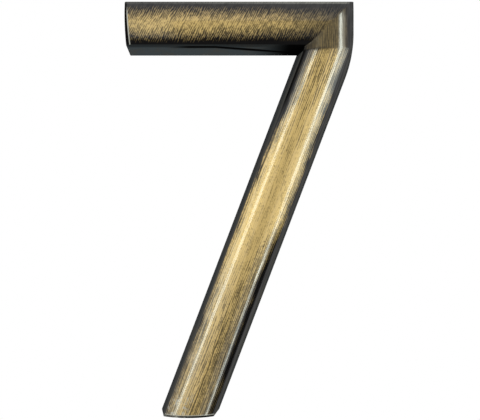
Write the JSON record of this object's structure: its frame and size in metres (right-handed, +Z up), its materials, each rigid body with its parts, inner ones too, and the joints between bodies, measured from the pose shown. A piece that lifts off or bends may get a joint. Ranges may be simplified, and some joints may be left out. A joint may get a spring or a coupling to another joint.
{
  "type": "house number",
  "caption": "Brass house number seven with a crowned face, mitred corner and flat back, held to a wall by concealed threaded studs.",
  "frame": {"origin": "mouth of the upper stud hole in the back face, where the centre lines of the bar and the upright drop cross", "axes": "+Z up and +X to the right as the figure is read from the front; the crowned face looks along -Y and the flat back lies on Y = 0"},
  "size_m": [0.0671, 0.0111, 0.1207],
  "materials": {
    "relieved_brass": "brushed brass, blackened and then relieved on the crown, under clear lacquer"
  },
  "bodies": {
    "root": {"numeral": "relieved_brass"}
  },
  "joints": []
}
